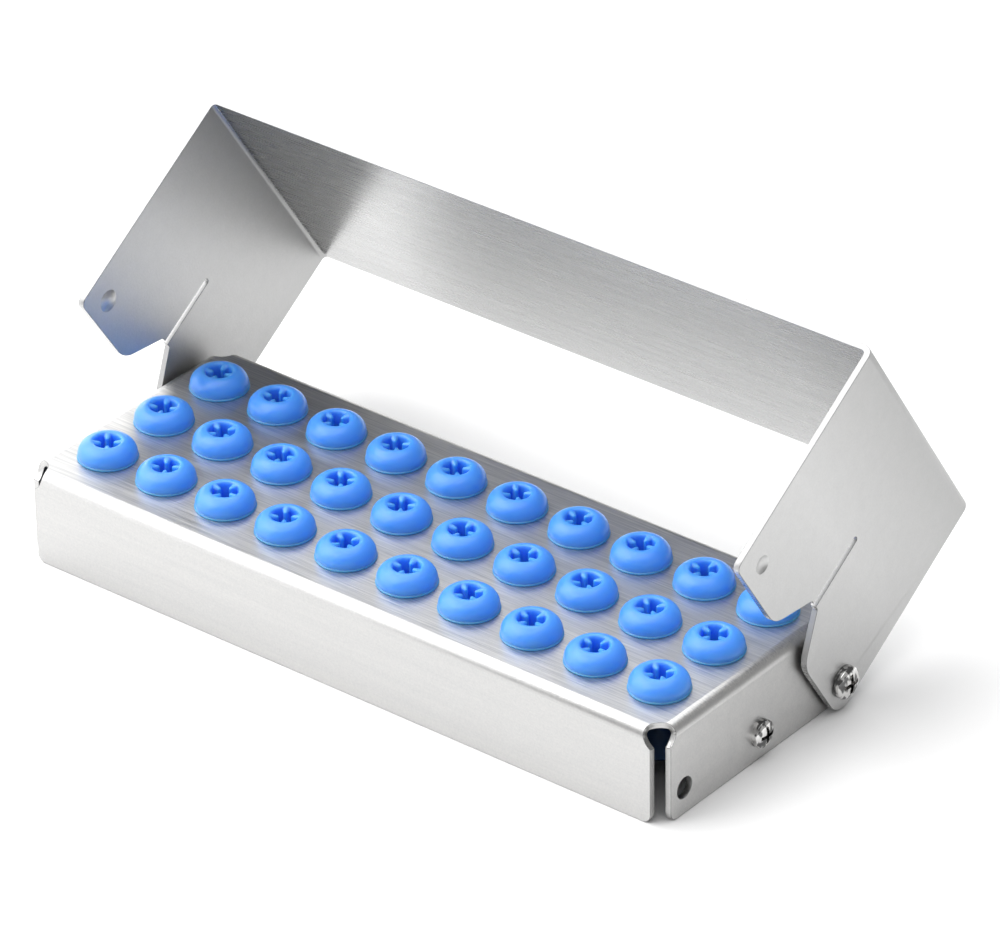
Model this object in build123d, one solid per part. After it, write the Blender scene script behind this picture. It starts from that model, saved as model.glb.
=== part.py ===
from build123d import *
from math import cos, radians, sin
import os

# Block for dental burs: a folded aluminium tray with thirty silicone grommets in its top,
# and a swinging cover folded from one aluminium strip, shown half open.
# Millimetres. +X runs along the block to the right end, +Y to the rear, +Z up.
# The tray is modelled about the middle of its foot. The finished pieces then move so that the
# origin lies on the table under the middle of the block as shown, with its cover half open.

# Sheet metal
sheet = 1.2                 # thickness of both sheets
bend_radius = 2.0           # outside radius of every fold

# Tray
tray_length = 140.3
tray_width = 53.3
tray_height = 18.3
flange_setback = 2.45       # from a tray corner to the end of each flange beside it
flange_corner = 1.7         # rounding of the flanges' lower corners
relief_radius = 3.15        # hole punched where two folds cross
relief_inset = 0.95         # its middle, in from both outer faces and from the top

# Grommets
columns = 10
rows = 3
end_margin = 9.4            # from the tray's end to the middle of the first column
side_margin = 11.65         # from the tray's front to the middle of the first row
plate_hole_radius = 4.0
hole_play = 0.05            # the grommet's neck in its hole, and its bead under the plate
lip_radius = 5.45
lip_height = 0.4
dome_radius = 5.35
dome_height = 3.4
mouth_radius = 2.45
mouth_rim = 0.45            # from the mouth's wall to the dome's top
bead_overhang = 0.7         # bead beyond the edge of its hole
bead_height = 1.4
stem_radius = 3.0
stem_length = 11.5          # from the plate's underside down
bur_shank_radius = 1.175    # shank of a slow-speed bur
bore_drop = 0.5             # from the plate's underside down to the top of the tight bore
fin_count = 4
fin_thickness = 0.7
fin_reach = 1.25            # from the axis to the fins' inner edges
fin_drop = 0.6              # from the dome's top down to the fins' tops
fin_turn_step = 37          # degrees from one grommet's fins to the next one's

# Round holes in the tray's end plates: latch at the front, pivot at the rear, stop midway
latch_setback = 6.15        # behind the tray's front face
pivot_setback = 5.45        # before the tray's rear face
ear_height = 5.1            # latch and stop
pivot_height = 5.4
latch_hole_radius = 2.0

# Cover, measured from the pivot when it is shut
side_gap = 0.75             # between an end plate and the arm beside it
web_reach = 40.2            # pivot to the cover's top
front_inset = 0.25          # of the cover's front edge from the tray's front face
rear_inset = 0.5            # of its rear edge from the tray's rear face
foot_reach = 4.85           # pivot down to the arms' ends
heel_radius = 3.8
tongue_corner = 1.5
notch_half_width = 7.9
notch_height = 8.4
notch_top_half_width = 1.5
notch_mouth_round = 5.0
notch_top_round = 0.6
slot_width = 1.15
slot_top = 17.5             # above the pivot
dimple_radius = 2.1         # where it leaves the inner face
dimple_height = 0.65
open_angle = 56.7           # how far the cover is swung open

# Screws, nuts and washers
pivot_thread = 3.0
pivot_head = 6.0
pivot_head_height = 1.8
pivot_nut_width = 5.5
pivot_nut_height = 2.4
pivot_play = 0.1            # of the screw in the arm's hole, and of its head off the arm
washer_thickness = 0.5
washer_diameter = 6.0
stop_thread = 2.5
stop_head = 5.1
stop_head_height = 1.7
stop_nut_width = 5.0
stop_nut_height = 2.0
screw_play = 0.1            # of a screw in a tray hole
thread_play = 0.01          # of a screw in its nut
screw_end = 0.6             # screw past its nut
rim_share = 0.45            # upright rim of a screw head, as a share of its height
recess_floor = 0.35         # floor of its cross recess, as a share of its height
recess_span = 0.62          # the recess from side to side, as a share of the head's diameter
recess_blade = 0.13         # width of each arm of the recess, as a share of that diameter

half_length = tray_length / 2
half_width = tray_width / 2
column_pitch = (tray_length - 2 * end_margin) / (columns - 1)
row_pitch = (tray_width - 2 * side_margin) / (rows - 1)
latch_y = -half_width + latch_setback
pivot_y = half_width - pivot_setback
stop_y = (latch_y + pivot_y) / 2
front_reach = tray_width - pivot_setback - front_inset
rear_reach = pivot_setback - rear_inset
arm_inside = half_length + side_gap
arm_outside = arm_inside + sheet
rear_end = (pivot_y + rear_reach * cos(radians(open_angle))
            + web_reach * sin(radians(open_angle)))
middle_y = (rear_end - half_width) / 2
through_all = 2 * tray_length
quarter_turn = 90


def at_tray_corners(piece):
    """Four copies of a piece made for the corner at +X, -Y."""
    right = piece + mirror(piece, Plane.XZ)
    return right + mirror(right, Plane.YZ)


def folded_box(length, width, height, radius):
    """A box that stands on z = 0 with its four upper edges rounded."""
    body = Box(length, width, height, align=(Align.CENTER, Align.CENTER, Align.MIN))
    return fillet(body.faces().sort_by(Axis.Z)[-1].edges(), radius)


def base_tray():
    outside = folded_box(tray_length, tray_width, tray_height, bend_radius)
    inside = folded_box(tray_length - 2 * sheet, tray_width - 2 * sheet,
                        tray_height - sheet, bend_radius - sheet)
    body = outside - inside

    relief_x = half_length - relief_inset
    relief_y = -half_width + relief_inset
    relief_z = tray_height - relief_inset
    relief = Pos(relief_x, relief_y, relief_z) * Sphere(relief_radius)
    slot = Pos(half_length - flange_setback, -half_width + flange_setback, 0) * Box(
        2 * flange_setback, 2 * flange_setback, relief_z,
        align=(Align.MIN, Align.MAX, Align.MIN))
    body -= at_tray_corners(relief + slot)

    lower = body.edges().filter_by_position(Axis.Z, -0.01, 0.01)
    front_ends = lower.filter_by(Axis.Y).filter_by(
        lambda edge: abs(abs(edge.center().X) - (half_length - flange_setback)) < 0.01)
    side_ends = lower.filter_by(Axis.X).filter_by(
        lambda edge: abs(abs(edge.center().Y) - (half_width - flange_setback)) < 0.01)
    body = fillet(front_ends + side_ends, flange_corner)

    body -= GridLocations(column_pitch, row_pitch, columns, rows) * Cylinder(
        plate_hole_radius, through_all)
    for y, z, radius in ((latch_y, ear_height, latch_hole_radius),
                         (stop_y, ear_height, stop_thread / 2 + screw_play),
                         (pivot_y, pivot_height, pivot_thread / 2 + screw_play)):
        body -= Pos(0, y, z) * Rot(0, quarter_turn, 0) * Cylinder(radius, through_all)
    return body


def arm_outline():
    """The shut arm seen from the end, in the plane of y and z about the pivot."""
    notch_y = stop_y - pivot_y
    notch_top = -foot_reach + notch_height
    face = make_face(Polyline(
        (rear_reach, -foot_reach), (rear_reach, web_reach), (-front_reach, web_reach),
        (-front_reach, -foot_reach), (notch_y - notch_half_width, -foot_reach),
        (notch_y - notch_top_half_width, notch_top), (notch_y + notch_top_half_width, notch_top),
        (notch_y + notch_half_width, -foot_reach), close=True))

    def round_corners(face, y_values, z, radius):
        corners = [v for v in face.vertices()
                   if abs(v.Y - z) < 0.001 and min(abs(v.X - y) for y in y_values) < 0.001]
        return fillet(corners, radius)

    face = round_corners(face, [rear_reach], -foot_reach, heel_radius)
    face = round_corners(face, [-front_reach], -foot_reach, tongue_corner)
    face = round_corners(face, [notch_y - notch_half_width, notch_y + notch_half_width],
                         -foot_reach, notch_mouth_round)
    face = round_corners(face, [notch_y - notch_top_half_width, notch_y + notch_top_half_width],
                         notch_top, notch_top_round)

    # The slot runs up from the notch and lets the tongue before it bend.
    slot_height = slot_top - notch_top
    slot = SlotOverall(2 * slot_height, slot_width, rotation=quarter_turn)
    return face - Pos(notch_y, notch_top) * slot


def shut_cover():
    """The cover about its pivot line, folded from one strip and shut."""
    strip = extrude(Plane.YZ.offset(-arm_outside) * arm_outline(), 2 * arm_outside)
    top = (Align.CENTER, Align.CENTER, Align.MAX)
    room = Pos(0, 0, web_reach) * Box(2 * arm_outside, through_all, through_all, align=top)
    room = fillet(room.edges().filter_by(Axis.Y).group_by(Axis.Z)[-1], bend_radius)
    hollow = Pos(0, 0, web_reach - sheet) * Box(2 * arm_inside, through_all, through_all,
                                                align=top)
    hollow = fillet(hollow.edges().filter_by(Axis.Y).group_by(Axis.Z)[-1], bend_radius - sheet)
    body = (strip & room) - hollow
    body -= Rot(0, quarter_turn, 0) * Cylinder(pivot_thread / 2 + pivot_play, through_all)

    # Each tongue has a round dimple pressed inwards, which snaps into the latch hole. Its two
    # faces are parts of balls about one point, a sheet's thickness apart.
    ball = (dimple_radius ** 2 + dimple_height ** 2) / (2 * dimple_height)
    middle = Pos(arm_inside - dimple_height + ball, latch_y - pivot_y, ear_height - pivot_height)
    inner_side = Pos(arm_inside + sheet / 2, 0, 0) * Box(
        through_all, through_all, through_all, align=(Align.MAX, Align.CENTER, Align.CENTER))
    bump = middle * Sphere(ball) & inner_side
    dent = middle * Sphere(ball - sheet)
    body = body + bump + mirror(bump, Plane.YZ)
    return body - dent - mirror(dent, Plane.YZ)


def grommet():
    """One silicone plug about its own axis, with z = 0 on the tray's top."""
    under = -sheet - hole_play
    end = -sheet - stem_length
    neck = plate_hole_radius - hole_play
    bead = plate_hole_radius + bead_overhang
    bore_top = -sheet - bore_drop
    side = Line((lip_radius, lip_height), (dome_radius, lip_height))
    rim = mouth_radius + mouth_rim
    dome = EllipticalCenterArc((rim, lip_height), dome_radius - rim, dome_height - lip_height,
                               start_angle=0, arc_size=quarter_turn)
    outline = Polyline(
        (rim, dome_height), (mouth_radius, dome_height - mouth_rim), (mouth_radius, 0),
        (bur_shank_radius, bore_top), (bur_shank_radius, end), (stem_radius, end),
        (stem_radius, under - bead_height), (bead, under - bead_height / 2), (bead, under),
        (neck, under), (neck, 0), (lip_radius, 0), (lip_radius, lip_height))
    profile = make_face(Plane.XZ * (Curve() + [outline, side, dome]))
    body = revolve(profile, Axis.Z)

    fin_top = dome_height - fin_drop
    fin = Pos(fin_reach, 0, 0) * Box(mouth_radius - fin_reach + mouth_rim, fin_thickness, fin_top,
                                     align=(Align.MIN, Align.CENTER, Align.MIN))
    for index in range(fin_count):
        body += Rot(0, 0, index * 360 / fin_count) * fin
    return body


def pan_screw(thread, head, head_height, length):
    """A cross-recessed pan-head screw along +Z, with its head above z = 0."""
    radius = head / 2
    edge = rim_share * head_height
    profile = make_face(Plane.XZ * (Curve() + [
        Polyline((0, head_height), (0, -length), (thread / 2, -length), (thread / 2, 0),
                 (radius, 0), (radius, edge)),
        EllipticalCenterArc((0, edge), radius, head_height - edge, start_angle=0,
                            arc_size=quarter_turn)]))
    body = revolve(profile, Axis.Z)
    blade = Pos(0, 0, recess_floor * head_height) * Box(
        recess_span * head, recess_blade * head, head_height,
        align=(Align.CENTER, Align.CENTER, Align.MIN))
    return body - blade - Rot(0, 0, quarter_turn) * blade


def hex_nut(width, height, thread):
    """A nut on z = 0 whose hole takes the given thread."""
    body = extrude(RegularPolygon(width / 2, 6, major_radius=False), height)
    return body - Cylinder(thread / 2 + thread_play, through_all)


def ring(outer, inner, height):
    return extrude(Circle(outer) - Circle(inner), height)


def to_end(side, x, y, z):
    """Places a piece made along +Z at an end of the tray, pointing outwards."""
    return Pos(side * x, y, z) * Rot(0, quarter_turn * side, 0)


def pieces():
    swing = Pos(0, pivot_y, pivot_height) * Rot(-open_angle, 0, 0)
    yield "base_tray", base_tray()
    yield "cover", swing * shut_cover()

    plug = grommet()
    places = GridLocations(column_pitch, row_pitch, columns, rows).locations
    for index, place in enumerate(places):
        column, row = index // rows + 1, index % rows + 1
        turn = index * fin_turn_step % (360 / fin_count)
        body = place * Pos(0, 0, tray_height) * Rot(0, 0, turn) * plug
        yield f"grommet_row{row}_column{column:02d}", body

    head_face = arm_outside + pivot_play
    inner_face = half_length - sheet
    pivot_length = head_face - inner_face + pivot_nut_height + screw_end
    stop_length = sheet + stop_nut_height + screw_end
    for name, side in (("left", -1), ("right", 1)):
        screw = pan_screw(pivot_thread, pivot_head, pivot_head_height, pivot_length)
        yield f"pivot_screw_{name}", to_end(side, head_face, pivot_y, pivot_height) * screw
        washer = ring(washer_diameter / 2, pivot_thread / 2 + screw_play, washer_thickness)
        yield f"pivot_washer_{name}", to_end(side, half_length, pivot_y, pivot_height) * washer
        nut = hex_nut(pivot_nut_width, pivot_nut_height, pivot_thread)
        yield f"pivot_nut_{name}", to_end(-side, -inner_face, pivot_y, pivot_height) * nut
        screw = pan_screw(stop_thread, stop_head, stop_head_height, stop_length)
        yield f"stop_screw_{name}", to_end(side, half_length, stop_y, ear_height) * screw
        nut = hex_nut(stop_nut_width, stop_nut_height, stop_thread)
        yield f"stop_nut_{name}", to_end(-side, -inner_face, stop_y, ear_height) * nut


os.makedirs("parts", exist_ok=True)
for node, solid in pieces():
    export_step(Pos(0, -middle_y, 0) * solid, f"parts/{node}.step")
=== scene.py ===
# %% [markdown]
# # A block for dental burs
#
# Thirty blue silicone grommets stand in a tray folded from one aluminium sheet. A cover folded
# from an aluminium strip swings over them on two screws, and is shown half open. The sheet-metal
# pieces and the screws come from the exact model, so here they only get their finish. The
# grommets are soft, so they are modelled again with all their roundings.

# %% The frame
from math import asin, cos, pi, radians, sin, sqrt

import bpy
from mathutils import Matrix, Vector


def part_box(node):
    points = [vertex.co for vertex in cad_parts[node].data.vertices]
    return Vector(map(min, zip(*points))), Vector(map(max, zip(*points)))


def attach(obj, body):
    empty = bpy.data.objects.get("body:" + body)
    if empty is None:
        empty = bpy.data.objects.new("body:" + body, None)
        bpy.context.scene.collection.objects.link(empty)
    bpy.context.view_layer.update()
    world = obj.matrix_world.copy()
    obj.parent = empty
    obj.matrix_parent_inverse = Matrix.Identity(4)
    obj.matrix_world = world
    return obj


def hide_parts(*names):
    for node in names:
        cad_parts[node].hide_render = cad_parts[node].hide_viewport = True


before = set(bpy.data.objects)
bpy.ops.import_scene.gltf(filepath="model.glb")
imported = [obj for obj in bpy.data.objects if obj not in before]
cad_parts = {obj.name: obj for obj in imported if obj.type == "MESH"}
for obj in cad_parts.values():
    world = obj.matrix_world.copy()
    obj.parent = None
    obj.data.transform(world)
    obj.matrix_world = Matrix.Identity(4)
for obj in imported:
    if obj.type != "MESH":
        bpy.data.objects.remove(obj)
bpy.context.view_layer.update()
MM = 0.001
print("pieces in the frame:", len(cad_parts))

# %% [markdown]
# ## Shader sums as plain sums
#
# A finish is made of many small sums on values that change over the surface. One small class
# wraps a socket, so that they can be written as sums. Every other node comes from one method
# that takes its type, its settings and what goes into its sockets.

# %% A socket that adds its own Math nodes
class Wire:
    """The output of a node, which can stand in a sum."""

    def __init__(self, paint, socket):
        self.paint, self.socket = paint, socket

    def maths(self, operation, *others):
        return self.paint.node("ShaderNodeMath", {"operation": operation}, [self, *others])

    def __add__(self, other):
        return self.maths("ADD", other)

    __radd__ = __add__

    def __mul__(self, other):
        return self.maths("MULTIPLY", other)

    __rmul__ = __mul__

    def __sub__(self, other):
        return self.maths("SUBTRACT", other)

    def __rsub__(self, other):
        return self.paint.node("ShaderNodeMath", {"operation": "SUBTRACT"}, [other, self])

    def at_least(self, other):
        return self.maths("MAXIMUM", other)

    def at_most(self, other):
        return self.maths("MINIMUM", other)

    def size(self):
        return self.maths("ABSOLUTE")


# %% A material under construction
class Paint:
    """One material: its Principled shader, and the nodes that feed it."""

    def __init__(self, name, **steady):
        self.material = bpy.data.materials.new(name)
        self.material.use_nodes = True
        self.tree = self.material.node_tree
        self.shader = self.tree.nodes["Principled BSDF"]
        for socket, value in steady.items():
            self.shader.inputs[socket.replace("_", " ")].default_value = value

    def node(self, kind, settings=None, inputs=(), output=0):
        """A node of that kind. Its settings come first, then its sockets by place or by name."""
        made = self.tree.nodes.new(kind)
        for name, value in (settings or {}).items():
            if name == "stops":
                ramp = made.color_ramp
                while len(ramp.elements) < len(value):
                    ramp.elements.new(0.5)
                for stop, (place, colour) in zip(ramp.elements, value):
                    stop.position, stop.color = place, colour
            else:
                setattr(made, name, value)
        named = inputs.items() if isinstance(inputs, dict) else enumerate(inputs)
        for socket, value in named:
            self.feed(made.inputs[socket], value)
        return Wire(self, made.outputs[output])

    def feed(self, socket, value):
        if isinstance(value, Wire):
            self.tree.links.new(value.socket, socket)
        else:
            socket.default_value = value

    def to_shader(self, **wires):
        for socket, wire in wires.items():
            self.feed(self.shader.inputs[socket.replace("_", " ")], wire)

    def mix(self, share, first, second):
        """A colour between two others."""
        return self.node("ShaderNodeMix", {"data_type": "RGBA"},
                         {0: share, 6: first, 7: second}, output=2)

    def place(self):
        """Where a point lies, in metres from the origin of the block."""
        return self.node("ShaderNodeTexCoord", output=3)

    def stretched(self, place, across, scale=1.0, turn=(0, 0, 0)):
        """A place squeezed along each axis by the lengths given in millimetres."""
        return self.node("ShaderNodeMapping", {"vector_type": "POINT"},
                         {"Vector": place, "Rotation": turn,
                          "Scale": [1 / (MM * length) for length in across]})

    def noise(self, place, detail=2.0, roughness=0.5):
        return self.node("ShaderNodeTexNoise", {"noise_dimensions": "3D"},
                         {"Vector": place, "Scale": 1.0, "Detail": detail,
                          "Roughness": roughness})

    def span(self, value, low, high, to_low=0.0, to_high=1.0):
        """Carries one range of values over to another."""
        return self.node("ShaderNodeMapRange", {"clamp": True},
                         [value, low, high, to_low, to_high])

    def bump(self, height, strength, distance):
        return self.node("ShaderNodeBump", {},
                         {"Strength": strength, "Distance": distance, "Height": height})


print("shader helpers are ready")

# %% [markdown]
# ## Brushed aluminium
#
# The sheet was brushed along its length before it was cut and folded. A brushed face shows fine
# lines of unequal depth, each some centimetres long and a few hundredths of a millimetre wide,
# and broad faint bands where the belt pressed harder. Noise stretched along the brushing gives
# both. On the arms of the cover the brushing runs up the arm, because the strip was folded; the
# noise there is not turned, and the folded-down faces get a fine even speckle in place of lines.

# %% The brushed finish
open_angle = radians(56.7)


def brushed_aluminium(name, dark, light, painted_side_light, roughness, side_roughness, main_facing,
                      cut_facing, ends):
    """Aluminium brushed along the block. The main face shows the brushing plainly, and the
    sides folded down from it are calmer. Sheared faces look along the cut's direction."""
    paint = Paint(name, Metallic=1.0)
    place = paint.place()
    facing = paint.node("ShaderNodeTexCoord", output=1)

    def looking(direction, low, high):
        towards = paint.node("ShaderNodeVectorMath", {"operation": "DOT_PRODUCT"},
                             [facing, direction], output=1)
        return paint.span(towards.size(), low, high)

    side = 1 - looking(main_facing, 0.6, 0.8)
    cut = looking(cut_facing, 0.5, 0.6)
    streaks = paint.noise(paint.stretched(place, (14, 0.32, 0.32)), detail=4.0, roughness=0.6)
    bands = paint.noise(paint.stretched(place, (90, 2.2, 2.2)), detail=2.0)
    speckle = paint.noise(paint.stretched(place, (0.4, 0.4, 0.4)), detail=3.0, roughness=0.65)
    lines = streaks + side * 0.7 * (speckle - streaks)
    tone = paint.span(0.8 * lines + 0.2 * bands, 0.32, 0.68)
    tone = 0.5 + (tone - 0.5) * (1 - 0.6 * side)
    # Painted shade: near its folds the cover's sheet is painted darker, standing in for the dark
    # reflections that the folded faces throw at each other. The tray is given folds far off, so none
    # of it is darkened.
    half_length, height = ends
    sideways = paint.node("ShaderNodeSeparateXYZ", {}, [place]).size()
    upwards = paint.node("ShaderNodeVectorMath", {"operation": "DOT_PRODUCT"},
                         [place, main_facing], output=1)
    from_fold = (half_length - sideways) + (height - upwards)
    painted_fold_shade = paint.span(from_fold, 3 * MM, 26 * MM, 0.74, 1.0)
    # Painted light: on the cover the folded-down sides are painted lighter than the main face,
    # standing in for the light that falls on them.
    sheet = paint.node("ShaderNodeVectorMath", {"operation": "SCALE"},
                       {"Vector": paint.mix(tone, dark, light),
                        "Scale": painted_fold_shade * (1 + side * painted_side_light)})
    paint.to_shader(
        Base_Color=paint.mix(cut, sheet, (0.43, 0.43, 0.43, 1)),
        Roughness=(paint.span(lines, 0.25, 0.75, roughness - 0.05, roughness + 0.05)
                   + side * (side_roughness - roughness) + cut * 0.1),
        Normal=paint.bump(lines, 0.6, 0.00006))
    return paint.material


def reach(node, direction):
    """How far a piece reaches in a direction from the origin."""
    return max(point.co.dot(Vector(direction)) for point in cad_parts[node].data.vertices)


cover_up = (0, sin(open_angle), cos(open_angle))
tray_metal = brushed_aluminium("tray_aluminium", (0.42, 0.425, 0.435, 1), (0.68, 0.67, 0.65, 1),
                               0.0, 0.35, 0.38, (0, 0, 1), (0, 0, 0), (1, 1))
cover_metal = brushed_aluminium("cover_aluminium", (0.42, 0.42, 0.42, 1), (0.57, 0.57, 0.565, 1),
                                0.17, 0.27, 0.42, cover_up,
                                (0, cos(open_angle), -sin(open_angle)),
                                (reach("cover", (1, 0, 0)), reach("cover", cover_up)))
print("brushed finishes:", tray_metal.name, cover_metal.name)

# %% [markdown]
# ## Bright steel
#
# The screws are small polished heads. Tiny tumbling marks keep them from looking like mirrors.
# Their colour carries painted reflections: broad dark and bright patches stand in for the room
# that the heads would mirror.

# %% The screws' finish
def bright_steel():
    paint = Paint("screw_steel", Metallic=1.0)
    place = paint.place()
    marks = paint.noise(paint.stretched(place, (0.25, 0.25, 0.25)), detail=3.0)
    # Painted reflections: broad dark and bright patches in the colour stand in for the room that the
    # polished heads would mirror.
    painted_reflection_patches = paint.noise(paint.stretched(place, (0.9, 0.9, 1.6)), detail=1.0)
    paint.to_shader(
        Base_Color=paint.mix(paint.span(painted_reflection_patches, 0.44, 0.56), (0.14, 0.14, 0.14, 1),
                             (0.80, 0.79, 0.78, 1)),
        Roughness=paint.span(marks, 0.3, 0.7, 0.07, 0.14),
        Normal=paint.bump(marks, 0.2, 0.00004))
    return paint.material


screw_steel = bright_steel()

# %% [markdown]
# ## Blue silicone
#
# Silicone lets a little light in, has a soft broad gloss and a faint bloom of dust. Its colour
# is lighter on thin edges, where light passes through. Inside the mouth the blue is painted
# lighter still, a painted glow that stands in for the light coming through the silicone.

# %% The grommets' finish
def blue_silicone():
    paint = Paint("grommet_silicone", Subsurface_Weight=0.8, Subsurface_Scale=0.003,
                  Subsurface_Radius=(0.2, 0.5, 1.0), IOR=1.41, Specular_IOR_Level=0.8)
    place = paint.place()
    cloud = paint.noise(paint.stretched(place, (2.5, 2.5, 2.5)), detail=3.0)
    grain = paint.noise(paint.stretched(place, (0.12, 0.12, 0.12)), detail=2.0)
    flat = paint.node("ShaderNodeVectorMath", {"operation": "MULTIPLY"}, [place, (1, 1, 0)])
    from_axis = paint.node("ShaderNodeVectorMath", {"operation": "LENGTH"}, [flat], output=1)
    skin = paint.mix(cloud, (0.062, 0.290, 0.85, 1), (0.080, 0.330, 0.90, 1))
    # Painted light: inside the mouth the blue is painted lighter, standing in for light that passes
    # through the silicone.
    painted_glow_skin = paint.mix(paint.span(from_axis, 2.3 * MM, 2.8 * MM), (0.070, 0.32, 0.92, 1), skin)
    # Painted shade: below the tray's sheet the stems are painted near black blue, standing in for
    # the shade inside the tray.
    painted_shade_height = paint.node("ShaderNodeSeparateXYZ", {}, [place], output=2)
    paint.to_shader(
        Base_Color=paint.mix(paint.span(painted_shade_height, -1.6 * MM, -1.2 * MM), (0.01, 0.04, 0.12, 1),
                             painted_glow_skin),
        Roughness=paint.span(grain, 0.3, 0.7, 0.30, 0.38),
        Normal=paint.bump(grain, 0.08, 0.00003))
    return paint.material


silicone = blue_silicone()
print("grommet finish:", silicone.name)

# %% [markdown]
# ## Dressing the folded sheets and the screws
#
# These pieces keep their exact shape. Sheared sheet is deburred, which leaves a narrow matt line
# along each cut edge. The exact mesh has a double set of points at its sharp edges, so a weld
# modifier joins them first. A bevel modifier then breaks the edges and gives its own faces the
# second material of the piece.

# %% Finishes on the rigid pieces
def deburred_line():
    paint = Paint("deburred_edge", Metallic=1.0, Roughness=0.42)
    wear = paint.noise(paint.stretched(paint.place(), (1.5, 1.5, 1.5)), detail=2.0)
    paint.to_shader(
        Base_Color=paint.mix(wear, (0.20, 0.20, 0.20, 1), (0.36, 0.36, 0.36, 1)))
    return paint.material


burr = deburred_line()


def dress(node, material, broken_edge=0.0):
    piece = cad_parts[node]
    piece.data.materials.clear()
    piece.data.materials.append(material)
    if broken_edge:
        piece.data.materials.append(burr)
        weld = piece.modifiers.new("joined_points", "WELD")
        weld.merge_threshold = 0.001 * MM
        bevel = piece.modifiers.new("broken_edges", "BEVEL")
        bevel.width, bevel.segments = broken_edge * MM, 2
        bevel.limit_method, bevel.angle_limit = "ANGLE", radians(50)
        bevel.use_clamp_overlap = False
        bevel.material = 1


dress("base_tray", tray_metal, 0.09)
dress("cover", cover_metal, 0.09)
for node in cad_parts:
    if node.startswith(("pivot", "stop")):
        dress(node, screw_steel)

# %% [markdown]
# ## The grommets
#
# Seen from above, each grommet is a low dome with a round mouth. Four soft fins reach in from
# the mouth's wall and steady the bur. Each level of the surface is one closed ring of points
# round the axis, and only the rings inside the mouth swing in to follow the fins. That gives
# every rounding exactly, and one skin with no seams.

# %% Sizes of a grommet, in millimetres
lip_radius = 5.45
mouth_radius = 2.30
fin_tip = 1.1
fin_half = 0.34
fin_top = 3.2
fin_nose = 0.4
fin_count = 4
plate = 1.2
neck_radius = 3.95
bead_radius = 4.7
stem_radius = 3.0
stem_end = -12.7
bore_radius = 1.175

outer_side = [
    (bore_radius, stem_end), (2.75, stem_end), (stem_radius, stem_end + 0.25),
    (stem_radius, -2.9), (3.15, -2.7), (bead_radius - 0.15, -2.05), (bead_radius, -1.8),
    (bead_radius - 0.05, -1.4), (bead_radius - 0.3, -1.26), (neck_radius, -1.25),
    (neck_radius, -0.02), (neck_radius + 0.1, 0.0), (5.2, 0.0), (5.38, 0.03), (lip_radius, 0.14),
    (5.42, 0.27), (5.33, 0.34), (5.26, 0.38), (5.25, 0.45), (5.29, 0.65), (5.29, 0.95),
    (5.21, 1.4), (5.04, 1.85), (4.77, 2.28), (4.42, 2.66), (4.02, 2.97), (3.6, 3.2),
    (3.2, 3.32), (2.9, 3.35)]
mouth_side = [
    (2.76, 3.32), (2.64, 3.27), (2.54, 3.19), (2.46, 3.08), (2.40, 2.95), (2.36, 2.8),
    (2.33, 2.6), (2.31, 2.4), (mouth_radius, 2.2), (mouth_radius, 2.0), (mouth_radius, 1.7),
    (mouth_radius, 1.4), (mouth_radius, 0.8), (mouth_radius, 0.2), (mouth_radius, -0.3)]
bore_levels = [(bore_radius + 0.15, -1.45), (bore_radius, -1.7), (bore_radius, -6.0)]

# %% The angles of one ring
touch = asin(fin_half / (fin_tip + fin_half))
one_side = [0, 0.35 * touch, 0.7 * touch, 0.9 * touch, touch, touch + 0.03]
rest = pi / fin_count - one_side[-1]
one_side += [one_side[-1] + rest * step / 6 for step in range(1, 6)]
one_fin = sorted([-angle for angle in one_side[1:]] + one_side) + [pi / fin_count]
ring_angles = [2 * pi * fin / fin_count + angle for fin in range(fin_count) for angle in one_fin]
print("points in one ring:", len(ring_angles))


# %% The mouth's wall with its fins
def mouth_wall(angle, wall, z):
    """How far the inside lies from the axis at that angle and height."""
    period = 2 * pi / fin_count
    off = abs((angle + period / 2) % period - period / 2)
    depth = min(1.0, max(0.0, (fin_top - z) / fin_nose))
    nose = sqrt(1 - (1 - depth) ** 2)
    tip = wall - nose * (wall - fin_tip)
    half = fin_half * nose
    middle = tip + half
    if off > touch or middle * sin(off) > half:
        return wall
    return min(wall, middle * cos(off) - sqrt(half ** 2 - (middle * sin(off)) ** 2))


# %% One skin for all grommets
def grommet_mesh():
    rings = [[(r, z)] * len(ring_angles) for r, z in outer_side]
    rings += [[(mouth_wall(angle, wall, z), z) for angle in ring_angles]
              for wall, z in mouth_side]
    rings += [[(r, z)] * len(ring_angles) for r, z in bore_levels]
    points = [(r * MM * cos(angle), r * MM * sin(angle), z * MM)
              for ring in rings for angle, (r, z) in zip(ring_angles, ring)]
    count = len(ring_angles)
    faces = []
    for level in range(len(rings)):
        above = (level + 1) % len(rings)
        for step in range(count):
            ahead = (step + 1) % count
            faces.append((level * count + step, level * count + ahead,
                          above * count + ahead, above * count + step))
    mesh = bpy.data.meshes.new("grommet")
    mesh.from_pydata(points, [], faces)
    mesh.validate()
    mesh.shade_smooth()
    mesh.materials.append(silicone)
    return mesh


skin = grommet_mesh()
print("faces in one grommet:", len(skin.polygons))

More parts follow.
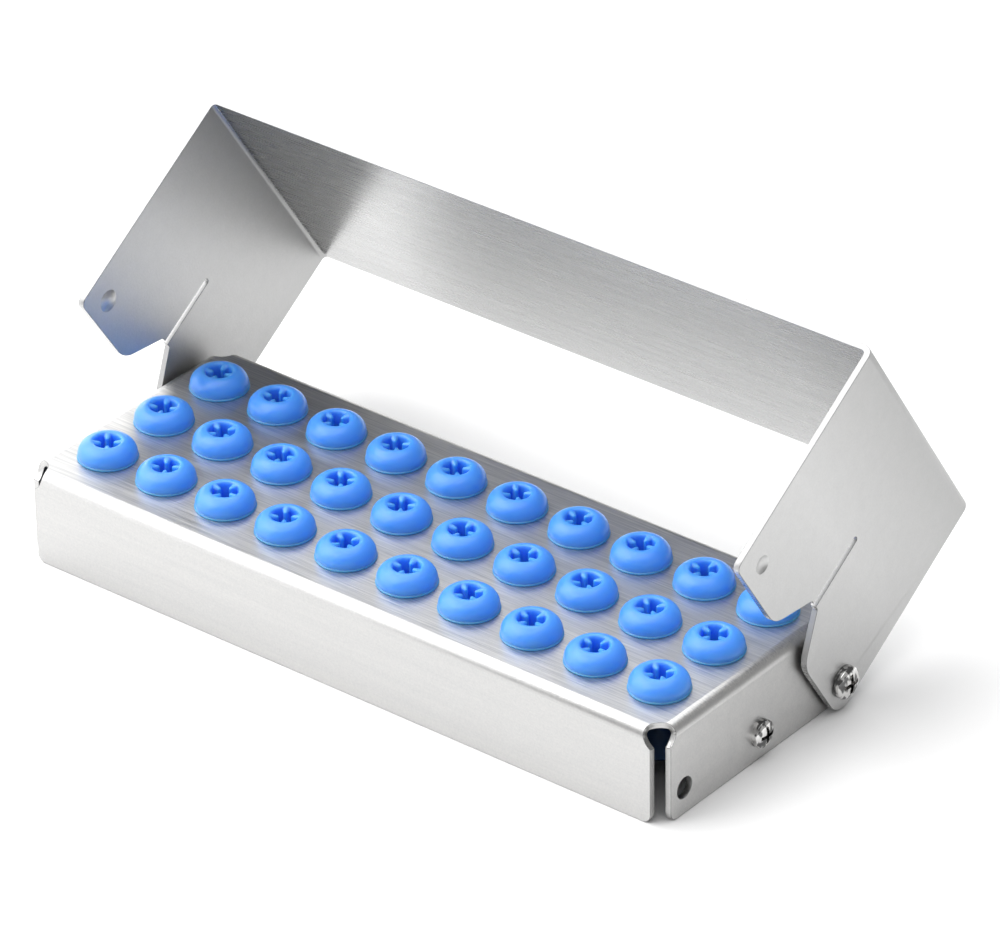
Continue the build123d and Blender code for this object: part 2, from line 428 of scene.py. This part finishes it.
# %% Thirty grommets in their holes
turns = [
    (40, 35, 85, 35, 65, 10, 60, 75, 75, 55),
    (25, 65, 20, 40, 35, 5, 85, 50, 55, 80),
    (15, 15, 75, 45, 45, 45, 70, 5, 85, 75)]
for node in sorted(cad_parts):
    if node.startswith("grommet"):
        low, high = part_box(node)
        middle = (Vector(low) + Vector(high)) / 2
        tray_top = Vector(low).z + (stem_end * -1) * MM
        piece = bpy.data.objects.new("soft_" + node, skin)
        bpy.context.scene.collection.objects.link(piece)
        row, column = int(node[11]), int(node[-2:])
        turn = turns[row - 1][column - 1]
        piece.matrix_world = (Matrix.Translation((middle.x, middle.y, tray_top))
                              @ Matrix.Rotation(radians(turn), 4, "Z"))
        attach(piece, "tray")
        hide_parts(node)

# %% [markdown]
# ## Floor, light and camera
#
# The block stands on a white sweep under soft light from the left. The camera is far away with
# a long lens, so parallel edges nearly stay parallel.

# %% The white sweep
def white_floor():
    half = 3.0
    mesh = bpy.data.meshes.new("floor")
    mesh.from_pydata([(-half, -half, 0), (half, -half, 0), (half, half, 0), (-half, half, 0)],
                     [], [(0, 1, 2, 3)])
    floor = bpy.data.objects.new("floor", mesh)
    bpy.context.scene.collection.objects.link(floor)
    floor.location.z = -0.00005
    paint = Paint("floor_white", Base_Color=(0.93, 0.93, 0.93, 1), Roughness=0.6)
    mesh.materials.append(paint.material)


white_floor()


# %% Soft light
def soft_box(name, place, target, width, height, power):
    light = bpy.data.lights.new(name, "AREA")
    light.shape, light.size, light.size_y, light.energy = "RECTANGLE", width, height, power
    lamp = bpy.data.objects.new(name, light)
    bpy.context.scene.collection.objects.link(lamp)
    aim = Vector(target) - Vector(place)
    lamp.matrix_world = Matrix.Translation(place) @ aim.to_track_quat("-Z", "Y").to_matrix().to_4x4()
    return lamp


def high_sky(direction, strength, spread):
    """A distant light as wide as a big ceiling, so that its shadows stay soft."""
    light = bpy.data.lights.new("high_sky", "SUN")
    light.energy, light.angle = strength, radians(spread)
    lamp = bpy.data.objects.new("high_sky", light)
    bpy.context.scene.collection.objects.link(lamp)
    lamp.matrix_world = Vector(direction).to_track_quat("Z", "Y").to_matrix().to_4x4()


world = bpy.data.worlds.new("studio")
bpy.context.scene.world = world
world.use_nodes = True
world.node_tree.nodes["Background"].inputs["Color"].default_value = (1, 1, 1, 1)
world.node_tree.nodes["Background"].inputs["Strength"].default_value = 0.40
high_sky((-0.3, -0.05, 1.0), 2.5, 80)
soft_box("key", (-0.67, -0.48, 0.58), (0, 0, 0.02), 1.2, 1.2, 8.8)
soft_box("back_left", (-0.9, 1.1, 0.85), (0, 0, 0.02), 1.4, 1.0, 4)
soft_box("low_back", (-0.9, 1.1, 0.32), (0, 0, 0.02), 2.2, 0.6, 5)
soft_box("left", (-1.2, 0.25, 0.35), (0, 0, 0.02), 1.0, 0.6, 2.0)
bpy.context.scene.view_settings.view_transform = "Standard"

# %% The camera
camera_data = bpy.data.cameras.new("camera")
camera_data.sensor_width, camera_data.lens = 36.0, 261.1
camera_data.clip_end = 20
camera = bpy.data.objects.new("camera", camera_data)
bpy.context.scene.collection.objects.link(camera)
camera.matrix_world = (Matrix.Translation((0.6754, -0.8292, 0.6739))
                       @ Matrix.Rotation(radians(38.616), 4, "Z")
                       @ Matrix.Rotation(radians(0.716), 4, "Y")
                       @ Matrix.Rotation(radians(58.740), 4, "X"))
bpy.context.scene.camera = camera
print("camera stands", round(camera.location.length, 3), "m away")
